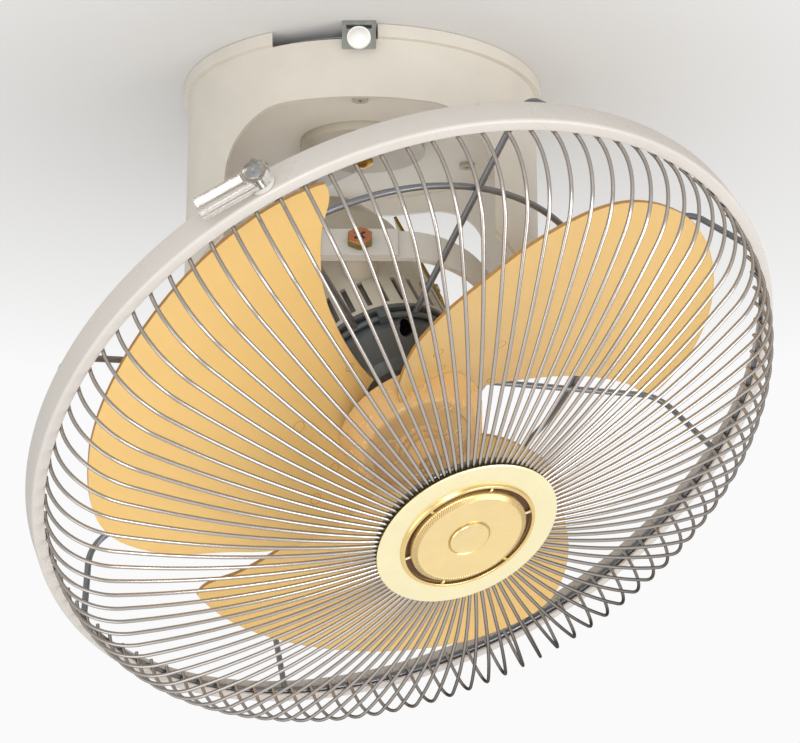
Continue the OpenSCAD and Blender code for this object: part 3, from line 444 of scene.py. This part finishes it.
def finish(name, colour, rough, mottle=0.03, patch=25, spread=0.05, grain=0.06, grain_size=0.8,
           crevice_shade=0.0, crevice_depth=6, edge=0.0, inside=None, metallic=0.0, transmission=0.0,
           ior=1.5, specular=0.5, tint=(255, 255, 255)):
    """A procedural surface. The colour varies by mottle in patches and roughness by spread in
    smaller ones, grain is the strength of fine bumps, crevice paints shade into crevices by a
    share, and inside is a lighter colour within the canopy's wall, painted light. Lengths are
    in millimetres."""
    material = bpy.data.materials.new(name)
    material.use_nodes = True
    tree = material.node_tree
    shader = tree.nodes["Principled BSDF"]
    plain = srgb(colour)
    patches = mapped(tree, noise_of(tree, patch), 0, 1)
    base = mixed(tree, patches, scaled(plain, 1 - mottle), scaled(plain, 1 + mottle))
    # Painted light: the canopy's inside takes a lighter colour than its outside.
    if inside:
        base = mixed(tree, beyond(tree, *LIT_INSIDE_FADE), srgb(inside), base)
    # Painted shade: the colour darkens in crevices, where shade falls.
    if crevice_shade:
        base = mixed(tree, crevice_shade_mask(tree, crevice_depth), base, scaled(plain, 1 - crevice_shade))
    gloss = noise_of(tree, patch / PATCH_TO_GLOSS, 5)
    for socket, value in (("Base Color", base), ("Metallic", metallic),
                          ("Roughness", mapped(tree, gloss, rough - spread, rough + spread)),
                          ("Transmission Weight", transmission), ("IOR", ior),
                          ("Specular IOR Level", specular), ("Specular Tint", srgb(tint)),
                          ("Normal", surface_normal(tree, grain, grain_size, edge))):
        feed(tree, shader.inputs[socket], value)
    return material


# Enamel and mouldings
# The lighter colour inside the canopy is painted light.
CREAM = finish("cream_moulding", (210, 204, 193), 0.5, edge=0.5, inside=(240, 236, 228))
CREAM_METAL = finish("cream_enamel", (196, 188, 173), 0.34, crevice_shade=0.45, crevice_depth=5, edge=0.5)
WHITE_METAL = finish("white_enamel", (199, 193, 186), 0.3, mottle=0.02, patch=60, grain=0.02, edge=0.4)
GREY_METAL = finish("grey_enamel", (212, 208, 201), 0.36, patch=40, crevice_shade=0.2, edge=0.5)
SLATE = finish("slate_enamel", (86, 92, 94), 0.38, mottle=0.08, grain=0.12, crevice_shade=0.5, edge=0.7)
DARK = finish("dark_moulding", (52, 50, 48), 0.5, mottle=0.08, grain=0.1)
WHITE = finish("white_moulding", (236, 235, 231), 0.4, mottle=0.02, edge=0.5)
GEAR = finish("gear_moulding", (228, 226, 216), 0.4)
CLEAR = finish("clear_moulding", (240, 236, 230), 0.05, mottle=0.01, spread=0.02, grain=0.0,
               transmission=0.95, ior=1.45)
# Bare and plated metal
ZINC = finish("zinc_plate", (176, 180, 182), 0.28, mottle=0.12, patch=6, edge=0.3, metallic=1.0)
GALVANISED = finish("galvanised", (150, 153, 148), 0.4, mottle=0.12, patch=6, edge=0.3, metallic=0.7)
YELLOW_ZINC = finish("yellow_zinc", (176, 150, 78), 0.3, mottle=0.2, patch=7, edge=0.3, metallic=1.0)
SCREW_SIDE = finish("yellow_zinc_dull", (150, 132, 80), 0.4, mottle=0.15, patch=5, edge=0.4,
                    metallic=0.8)
STEEL = finish("core_steel", (120, 120, 122), 0.4, mottle=0.1, patch=5, metallic=1.0)
COPPER = finish("copper_face", (198, 128, 92), 0.4, mottle=0.1, patch=3, metallic=0.6)
BRASS = finish("brass", (200, 160, 84), 0.22, mottle=0.08, patch=8, edge=0.3, metallic=1.0)
DARK_ROD = finish("dark_rod", (124, 127, 133), 0.24, patch=60, spread=0.02, grain=0.0, metallic=0.6)
# The dark specular tint darkens the wires' edges: a painted reflection of dark surroundings.
WIRE = finish("bright_wire", (184, 177, 171), 0.2, mottle=0.02, patch=60, spread=0.02, grain=0.0,
              metallic=1.0, tint=(88, 87, 90))
# Badge
GOLD = finish("badge_gold", (239, 228, 186), 0.3, mottle=0.02, patch=20, grain=0.03, grain_size=0.5,
              metallic=0.75)
GOLD_DEEP = finish("badge_gold_deep", (238, 212, 154), 0.24, patch=15, grain=0.0, crevice_shade=0.7,
                   crevice_depth=1.2, metallic=0.85)
# A darker copy of the badge gold for the lip: painted shade on its wall.
GOLD_LIP_SHADE = finish("badge_gold_lip_shade", (228, 198, 136), 0.22, patch=15, grain=0.0, metallic=0.9)
# Darker gold for the knurl's grooves: painted shade.
GOLD_GROOVE_SHADE = finish("badge_gold_groove_shade", (176, 140, 82), 0.3, mottle=0.05, patch=5, metallic=0.8)
BADGE_DARK = finish("badge_dark", (80, 50, 28), 0.5, mottle=0.15, patch=6)
# Dark colour of the skirt under the badge's edge: painted shade.
SKIRT_SHADE = finish("skirt_shade", (70, 62, 40), 0.35, mottle=0.25, patch=3, metallic=0.6)
# Blades
AMBER = finish("amber_blade", (249, 209, 134), 0.34, mottle=0.02, patch=70, grain=0.0,
               transmission=0.2, ior=1.46, specular=0.4)
# Deeper amber for the blade rims: painted shade.
AMBER_EDGE_SHADE = finish("amber_blade_edge_shade", (182, 134, 72), 0.35, mottle=0.05)
AMBER_MARK = finish("amber_mould_mark", (214, 160, 84), 0.35, mottle=0.05)
AMBER_HUB = finish("amber_hub", (255, 212, 146), 0.25, patch=30, grain=0.0, crevice_shade=0.25,
                   crevice_depth=2, transmission=0.35, ior=1.46)

CAD_FINISH = {
    CREAM: ("canopy_shell",),
    CREAM_METAL: ("motor_housing", "gear_case", "canopy_disc", "canopy_screws"),
    WHITE_METAL: ("clip_mount", "crank_arm", "crank_pad"),
    GREY_METAL: ("yoke_strap",),
    SLATE: ("motor_front_bracket", "guard_clamps"),
    GALVANISED: ("ceiling_plate", "rim_bracket"),
    ZINC: ("canopy_posts", "bracket_screw", "yoke_pins", "front_bearing", "rear_bearing",
           "gear_case_bolts", "link_screw", "layshaft", "layshaft_spacer", "drive_disc",
           "clip_screw", "motor_shaft", "motor_pinion"),
    YELLOW_ZINC: ("side_link",),
    STEEL: ("stator_core", "rotor_core"),
    BRASS: ("crank_bolt",),
    BADGE_DARK: ("badge_insert",),
    DARK: ("terminal_block", "cable_grommet", "leg_bushes"),
    WHITE: ("bracket_cap",),
    GEAR: ("gear_first", "gear_second", "gear_third", "output_gear"),
    AMBER_HUB: ("blade_nut",),
    CLEAR: ("guard_clip",),
}


def finish_cad():
    """Gives every CAD node that no piece stands for its finish."""
    for material, names in CAD_FINISH.items():
        for name in names:
            obj = NODES[name]
            if not obj.material_slots:
                obj.data.materials.append(material)
            for material_slot in obj.material_slots:
                material_slot.material = material


# ---- guard -----------------------------------------------------------------------

def hoop():
    """The sheet hoop: a plain wall with a lip at the front that turns inwards."""
    wall_r, lip_s = HOOP_R - HOOP_T, HOOP_FRONT_S - HOOP_T
    profile = rounded([(HOOP_R, HOOP_BACK_S, 0.6), (HOOP_R, HOOP_FRONT_S, 1.8),
                       (LIP_R, HOOP_FRONT_S, 0.8), (LIP_R, lip_s, 0.5),
                       (wall_r, lip_s, 0.8), (wall_r, HOOP_BACK_S, 0.5)])
    mesh_piece("hoop", lathe(profile, 360), "head", "white_metal", [WHITE_METAL], ["guard_hoop"])


def arc(x, s, radius, heading, stop, steps):
    """Points of an arc that leaves (x, s) at a heading and ends at another, in radians."""
    points = []
    for i in range(1, steps + 1):
        a = heading + (stop - heading) * i / steps
        points.append((x + radius * (math.sin(a) - math.sin(heading)),
                       s + radius * (math.cos(heading) - math.cos(a))))
    return points


def wire_profile():
    """(radius, depth) points of a front wire: foot in the hoop, shoulder arc, dome arc."""
    lean, start, stop = (math.radians(a) for a in (WIRE_LEAN, DOME_START, DOME_STOP))
    hidden = lean - (WIRE_FOOT_S - WIRE_START_S) / SHOULDER_R
    foot = arc(WIRE_FOOT_R, WIRE_FOOT_S, SHOULDER_R, lean, hidden, 1)
    shoulder = arc(*foot[0], SHOULDER_R, hidden, start, SHOULDER_STEPS)
    return foot + shoulder + arc(*shoulder[-1], DOME_R, start, stop, DOME_STEPS)


def front_wires():
    """A hundred bright wires, from inside the hoop to under the badge."""
    profile = wire_profile()
    paths = []
    for i in range(WIRE_COUNT):
        turn = turned(WIRE_TURN + 360 * i / WIRE_COUNT)
        paths.append([turn @ Vector((r, WIRE_OFFSET, s)) for r, s in profile])
    rod_piece("front_wires", paths, WIRE_R, "head", WIRE,
              ["front_wires_upper", "front_wires_lower"])


def rear_guard():
    """Eight bent spokes and the rings that they and the wires are welded to."""
    path = [(SPOKE_IN_R, COLLAR_S),
            (SPOKE_IN_R + SPOKE_RUN * math.cos(SPOKE_SLOPE),
             COLLAR_S + SPOKE_RUN * math.sin(SPOKE_SLOPE))]
    path += arc(*path[-1], SPOKE_BEND_R, SPOKE_SLOPE, SPOKE_RISE, BEND_STEPS)
    x, s = path[-1]
    path.append((x + SPOKE_TIP * math.cos(SPOKE_RISE), s + SPOKE_TIP * math.sin(SPOKE_RISE)))
    spokes = [[polar(r, SPOKE_TURN + 360 * i / SPOKE_COUNT, depth) for r, depth in path]
              for i in range(SPOKE_COUNT)]
    rod_piece("rear_spokes", spokes, ROD_R, "head", DARK_ROD, ["rear_guard_spokes"])
    for name, node, material in (("rear_ring", "rear_guard_ring", DARK_ROD),
                                 ("rear_collar", "rear_guard_collar", SLATE),
                                 ("rim_ring", "guard_rim_ring", DARK_ROD),
                                 ("badge_wire_ring", "badge_ring", DARK_ROD)):
        ring_r, ring_s, rod_r = ring_size(node)
        rod_piece(name, [circle(ring_r, ring_s)], rod_r, "head", material, [node],
                  closed=True)


# ---- badge -----------------------------------------------------------------------

def badge_piece(name, part, materials, nodes=("badge_plate",), **shape):
    """A mesh piece of the badge, which rides on the head."""
    return mesh_piece(name, part, "head", "badge_gold", materials, nodes, **shape)


def badge_disc():
    """The flat disc with its chamfer, the lip round the slots, in a darker gold that paints
    shade, and the bridges over them.
    """
    disc = rounded([(SLOT_OUT_R, BADGE_BACK_S, 0), (BADGE_R - 0.6, BADGE_BACK_S, 0.3),
                    (BADGE_R, BADGE_TOP_S - BADGE_EDGE, 0.3),
                    (BADGE_R - BADGE_CHAMFER, BADGE_TOP_S, 0.6), (SLOT_OUT_R, BADGE_TOP_S, 0.2)])
    badge_piece("badge_plate_disc", lathe(disc, 240), [GOLD])

    lip_r, root, crest = SLOT_OUT_R + LIP_W, BADGE_TOP_S - BADGE_EDGE, BADGE_TOP_S + LIP_RISE
    lip = rounded([(SLOT_OUT_R, root, 0), (lip_r, root, 0), (lip_r, BADGE_TOP_S + LIP_STEP, 0.3),
                   (lip_r - LIP_SLOPE, crest, 0.8), (SLOT_OUT_R, crest, 0.6)])
    # The lip takes the darker gold: painted shade.
    badge_piece("badge_lip", lathe(lip, 240), [GOLD_LIP_SHADE])

    bridge = bar(SLOT_IN_R - BRIDGE_LAP, SLOT_OUT_R + BRIDGE_LAP, BRIDGE_W,
                 BADGE_TOP_S - BRIDGE_T, BADGE_TOP_S)
    badge_piece("badge_bridges", ring_of(bridge, BRIDGE_COUNT, BRIDGE_TURN), [GOLD], bevel=0.25)


def rib_height(a, r):
    """Height of the slanted ribs of the knurled band at an angle in radians and a radius."""
    if not BAND_IN_R < r < SLOT_IN_R:
        return 0
    phase = RIB_COUNT * a + RIB_SLANT * (r - BAND_IN_R) / (SLOT_IN_R - BAND_IN_R)
    return RIB_HEIGHT * (0.5 + 0.5 * math.sin(phase))


def badge_cap():
    """The knurled band, the dish inside it and the plain boss, with shade painted into the grooves."""
    band = [(SLOT_IN_R, BAND_S - 0.5)]
    band += [(SLOT_IN_R - BAND_EDGE - BAND_W * k / BAND_STEPS, BAND_S + BAND_RISE * k / BAND_STEPS)
             for k in range(BAND_STEPS + 1)]
    dish_r, moat_r = BAND_IN_R - BAND_EASE, BOSS_R + 1.2
    dish = [(dish_r - (dish_r - moat_r) * k / DISH_STEPS,
             BAND_S + DISH_RISE - DISH_DROP * math.sin(math.pi * 0.5 * k / DISH_STEPS))
            for k in range(DISH_STEPS + 1)]
    boss_s, under_s = BAND_S + BOSS_RISE, BADGE_TOP_S - 1.2
    boss = [(BOSS_R + 0.7, BAND_S), (BOSS_R + 0.2, BAND_S), (BOSS_R, boss_s),
            (BOSS_R - 0.5, boss_s + 0.5), (BOSS_R - 1.2, boss_s + 0.4), (BOSS_R - BOSS_RIM, boss_s),
            (0, boss_s), (0, under_s), (SLOT_IN_R, under_s)]
    cap = badge_piece("badge_cap", lathe(band + dish + boss, RIB_COUNT * RIB_STEPS, rib_height),
                      [GOLD_DEEP, GOLD_GROOVE_SHADE], ["badge_dome", "badge_plate"], sharp=50)
    # Faces low in the ribs' grooves take the darker gold: painted shade.
    to_fan = FAN.inverted()
    for face in cap.data.polygons:
        x, y, s = to_fan @ face.center / MM
        lift = rib_height(math.atan2(y, x), math.hypot(x, y))
        if s > BAND_S and 0 < lift < RIB_HEIGHT / 4:
            face.material_index = 1


def badge_shade_skirt():
    """The dark edge behind the disc, with one tooth for each wire end: painted shade under the badge.
    """
    low = BADGE_BACK_S - SKIRT_H
    out_r = BADGE_R - 1.2
    skirt = rounded([(out_r - SKIRT_T, low, 0), (out_r, low, 0.4), (out_r, BADGE_BACK_S, 0),
                     (out_r - SKIRT_T, BADGE_BACK_S, 0)])
    root_r, tip_r, root_half, tip_half = BADGE_R - 2.0, BADGE_R - 0.5, 0.9, 0.55
    tooth = prism([(root_r, -root_half), (tip_r, -tip_half), (tip_r, tip_half),
                   (root_r, root_half)], low, BADGE_BACK_S)
    teeth = ring_of(tooth, WIRE_COUNT, TOOTH_TURN)
    badge_piece("badge_shade_skirt", join([lathe(skirt, 2 * WIRE_COUNT), teeth]), [SKIRT_SHADE], ())


# ---- blades ----------------------------------------------------------------------

def smooth_lookup(table, x):
    """Monotone cubic through a table of (x, y) points, level before its first point."""
    x = max(x, table[0][0])
    slopes = [(b[1] - a[1]) / (b[0] - a[0]) for a, b in zip(table, table[1:])]
    last = len(slopes) - 1
    i = min(sum(1 for point in table if point[0] <= x) - 1, last)

    def tangent(k):
        if k == 0 or k > last:
            return slopes[min(k, last)]
        a, b = slopes[k - 1], slopes[k]
        return 2 * a * b / (a + b) if a * b > 0 else 0

    (x0, y0), (x1, y1) = table[i], table[i + 1]
    h = x1 - x0
    t = (x - x0) / h
    return ((2 * t ** 3 - 3 * t ** 2 + 1) * y0 + (t ** 3 - 2 * t ** 2 + t) * h * tangent(i)
            + (3 * t ** 2 - 2 * t ** 3) * y1 + (t ** 3 - t ** 2) * h * tangent(i + 1))


def blade_point(r, degrees, lift=0.0):
    """A point of a blade's middle surface, lifted along the axis."""
    pitch = PITCH_GROWTH * r + PITCH_ROOT
    return polar(r, degrees, BLADE_S + pitch * math.radians(degrees - PITCH_TURN) + lift)


def blade_turns():
    return [turned(BLADE_TURN + 360 * i / BLADE_COUNT) for i in range(BLADE_COUNT)]


def blade():
    """One blade as a closed thin sheet: its vertices, the faces of its two sides, its rim."""
    rows, cols = BLADE_ROWS, BLADE_COLS
    length = BLADE_TIP - BLADE_ROOT
    radii = [BLADE_ROOT + length * math.sin(math.pi / 2 * i / (rows - 1)) ** TIP_CROWDING
             for i in range(rows)]
    shares = [0.5 - 0.5 * math.cos(math.pi * j / (cols - 1)) for j in range(cols)]
    verts = []
    for lift in (-BLADE_T / 2, BLADE_T / 2):
        for r in radii:
            lead, trail = smooth_lookup(LEAD, r), smooth_lookup(TRAIL, r)
            verts += [blade_point(r, lead + (trail - lead) * share, lift) for share in shares]
    n = rows * cols
    cells = [(i * cols + j, (i + 1) * cols + j, (i + 1) * cols + j + 1, i * cols + j + 1)
             for i in range(rows - 1) for j in range(cols - 1)]
    sides = cells + [tuple(n + v for v in reversed(cell)) for cell in cells]
    root = list(range(cols))
    trailing = [i * cols + cols - 1 for i in range(1, rows)]
    tip = [(rows - 1) * cols + j for j in range(cols - 2, -1, -1)]
    leading = [i * cols for i in range(rows - 2, 0, -1)]
    loop = root + trailing + tip + leading
    rim = [(a, b, n + b, n + a) for a, b in zip(loop, loop[1:] + loop[:1])]
    return verts, sides, rim


def blades():
    """The three blades, their rims in a deeper colour: painted shade for the dark edges of the clear
    plastic.
    """
    verts, sides, rim = blade()
    for i, turn in enumerate(blade_turns()):
        obj = mesh_piece(f"blade_{i + 1}", moved((verts, sides + rim), turn), "rotor",
                         "amber_plastic", [AMBER, AMBER_EDGE_SHADE], ["blade_set"], sharp=40)
        # Rim faces take the deeper amber: painted shade.
        for face in obj.data.polygons[len(sides):]:
            face.material_index = 1
        add_bevel(obj, 0.6, segments=2)


def blade_marks():
    """Thin round mould marks on the front of each blade."""
    paths = []
    for turn in blade_turns():
        for r, degrees, size in MARKS:
            path = []
            for p in circle(size, 0, MARK_STEPS):
                along = math.degrees(p.y / r)
                path.append(turn @ blade_point(r + p.x, degrees + along, BLADE_T / 2))
            paths.append(path)
    rod_piece("blade_marks", paths, MARK_WIRE_R, "rotor", AMBER_MARK, closed=True)


def hub():
    """The cup that carries the blades, with its ribs."""
    boss_s, roof_s, dish_s = HUB_S + 1, HUB_END_S - HUB_ROOF, HUB_END_S - HUB_DISH
    cup = rounded([(HUB_BORE_R, boss_s, 0), (HUB_BOSS_R, boss_s, 0.5), (HUB_BOSS_R, roof_s, 1),
                   (HUB_ROOF_R, roof_s, 2), (HUB_R - HUB_WALL, HUB_S, 0.5), (HUB_R, HUB_S, 0.5),
                   (HUB_FRONT_R, HUB_END_S, 4), (HUB_DISH_OUT_R + 1, HUB_END_S, 0.6),
                   (HUB_DISH_OUT_R, dish_s, 0.6), (HUB_DISH_IN_R, dish_s, 0.6),
                   (HUB_DISH_IN_R - 1, HUB_END_S, 0.6), (HUB_BORE_R, HUB_END_S, 0)])
    rib = bar(*HUB_RIB_R, HUB_RIB_T, HUB_S + 4, HUB_END_S - 3)
    ribs = ring_of(rib, HUB_RIB_COUNT, HUB_RIB_TURN)
    mesh_piece("blade_hub", join([lathe(cup, 180), ribs]), "rotor", "amber_plastic", [AMBER_HUB],
               ["blade_set"])


# ---- pivots ----------------------------------------------------------------------

def screw_head():
    """A hexagon head with rounded corners and a chamfer."""
    corners = [(*polar(SCREW_CORNER_R, 30 + 60 * i).xy, SCREW_ROUND) for i in range(6)]
    hexagon = rounded(corners, 4)
    top = [(x * CHAMFER_SHARE, y * CHAMFER_SHARE) for x, y in hexagon]
    n = len(hexagon)
    verts = [(x, y, CHAMFER_FROM) for x, y in hexagon] + [(x, y, CHAMFER_TO) for x, y in top]
    faces = [(k, (k + 1) % n, n + (k + 1) % n, n + k) for k in range(n)]
    faces.append(tuple(range(n, 2 * n)))
    return join([prism(hexagon, 0, CHAMFER_FROM), (verts, faces)])


def screw_cross():
    """The outline of a cross recess, an eighth of a turn round."""
    cross = []
    for x, y in ((1, 1), (-1, 1), (-1, -1), (1, -1)):
        corner = [(x * CROSS_ARM, y * CROSS_REACH), (x * CROSS_ARM, y * CROSS_ARM),
                  (x * CROSS_REACH, y * CROSS_ARM)]
        cross += corner[::-1] if x * y > 0 else corner
    turn = Matrix.Rotation(math.radians(45), 2)
    return [tuple(turn @ Vector(point)) for point in reversed(cross)]


def pivot_screws():
    """Yellow-zinc hexagon heads with a coppery face, and on it a dark cross that paints the
    shade of a cross recess.
    """
    disc = [tuple(p.xy) for p in circle(FACE_SHARE * SCREW_CORNER_R, 0, FACE_STEPS)]
    head, face = screw_head(), prism(disc, SCREW_H - FACE_T, SCREW_H)
    cross = prism(screw_cross(), SCREW_H - CROSS_T, SCREW_H + CROSS_PROUD)
    for side, turn in (("near", 0), ("far", 180)):
        place = YOKE @ turned(turn) @ turned(90, "X") @ Matrix.Translation((0, 0, SCREW_SEAT * MM))
        for name, part, slot, material, shape in (
                ("screw", head, "yellow_zinc", SCREW_SIDE, {"sharp": 25}),
                ("face", face, "copper_face", COPPER, {"bevel": 0.5}),
                # The cross: a dark prism a little proud of the face, painted shade of the recess.
                ("cross", cross, "core_steel", DARK, {})):
            mesh_piece(f"pivot_{name}_{side}", part, "yoke", slot, [material],
                       ["head_pivot_screws"], place, **shape)


# ---- stage, light and camera -----------------------------------------------------

def ceiling_paint():
    """Plain paint near the canopy that turns white to the camera further off, and clear from
    behind, so that a view from above shows the canopy plate."""
    material = bpy.data.materials.new("ceiling_paint")
    material.use_nodes = True
    tree = material.node_tree
    nodes = tree.nodes
    nodes.clear()
    paint = nodes.new("ShaderNodeBsdfDiffuse")
    paint.inputs["Color"].default_value = srgb(CEILING_PAINT)
    glow = nodes.new("ShaderNodeEmission")
    glow.inputs["Color"].default_value = srgb(CEILING_FAR)
    clear = nodes.new("ShaderNodeBsdfTransparent")
    far = math_of(tree, "POWER", beyond(tree, *CEILING_FADE), CEILING_POWER)
    seen = math_of(tree, "MULTIPLY", far, nodes.new("ShaderNodeLightPath").outputs["Is Camera Ray"])
    below = mixed_shader(tree, seen, paint.outputs["BSDF"], glow.outputs["Emission"])
    behind = nodes.new("ShaderNodeNewGeometry").outputs["Backfacing"]
    both = mixed_shader(tree, behind, below, clear.outputs["BSDF"])
    tree.links.new(both, nodes.new("ShaderNodeOutputMaterial").inputs["Surface"])
    return material


def ceiling():
    """The ceiling: a wide flat ring round the canopy that faces down."""
    n = CEILING_STEPS
    verts = circle(CEILING_HOLE_R, CEILING_Z, n) + circle(CEILING_R, CEILING_Z, n)
    faces = [(i, (i + 1) % n, n + (i + 1) % n, n + i) for i in range(n)]
    mesh = bpy.data.meshes.new("ceiling")
    mesh.from_pydata([v * MM for v in verts], [], faces)
    mesh.materials.append(ceiling_paint())
    obj = bpy.data.objects.new("ceiling", mesh)
    bpy.context.scene.collection.objects.link(obj)


def world():
    """White to the camera, in reflections and through glass; a plain grey light otherwise."""
    studio = bpy.data.worlds.new("studio")
    bpy.context.scene.world = studio
    studio.use_nodes = True
    tree = studio.node_tree
    rays = tree.nodes.new("ShaderNodeLightPath").outputs
    shown = math_of(tree, "MAXIMUM", rays["Is Camera Ray"], rays["Is Glossy Ray"])
    shown = math_of(tree, "MAXIMUM", shown, rays["Is Transmission Ray"])
    light = (WORLD_LIGHT, WORLD_LIGHT, WORLD_LIGHT, 1)
    feed(tree, tree.nodes["Background"].inputs["Color"], mixed(tree, shown, light, (1, 1, 1, 1)))


def softboxes():
    """Round area lights that face the gimbal."""
    for name, location, power, size in SOFTBOXES:
        data = bpy.data.lights.new(name, "AREA")
        data.shape = "DISK"
        data.size = size
        data.energy = power
        obj = bpy.data.objects.new(name, data)
        obj.location = location
        obj.rotation_euler = (GIMBAL - obj.location).to_track_quat("-Z", "Y").to_euler()
        bpy.context.scene.collection.objects.link(obj)


def camera():
    """The photo's view: from below the ceiling, slightly upwards, and level from side to side."""
    data = bpy.data.cameras.new("camera")
    data.lens = LENS
    data.sensor_width = SENSOR
    data.dof.use_dof = False
    obj = bpy.data.objects.new("camera", data)
    obj.location = CAMERA_AT
    obj.rotation_euler = (math.pi / 2 + CAMERA_RISE, 0, 0)
    bpy.context.scene.collection.objects.link(obj)
    bpy.context.scene.camera = obj


finish_cad()
hoop()
front_wires()
rear_guard()
badge_disc()
badge_cap()
badge_shade_skirt()
blades()
blade_marks()
hub()
pivot_screws()
ceiling()
world()
softboxes()
camera()
bpy.context.scene.view_settings.view_transform = "Standard"
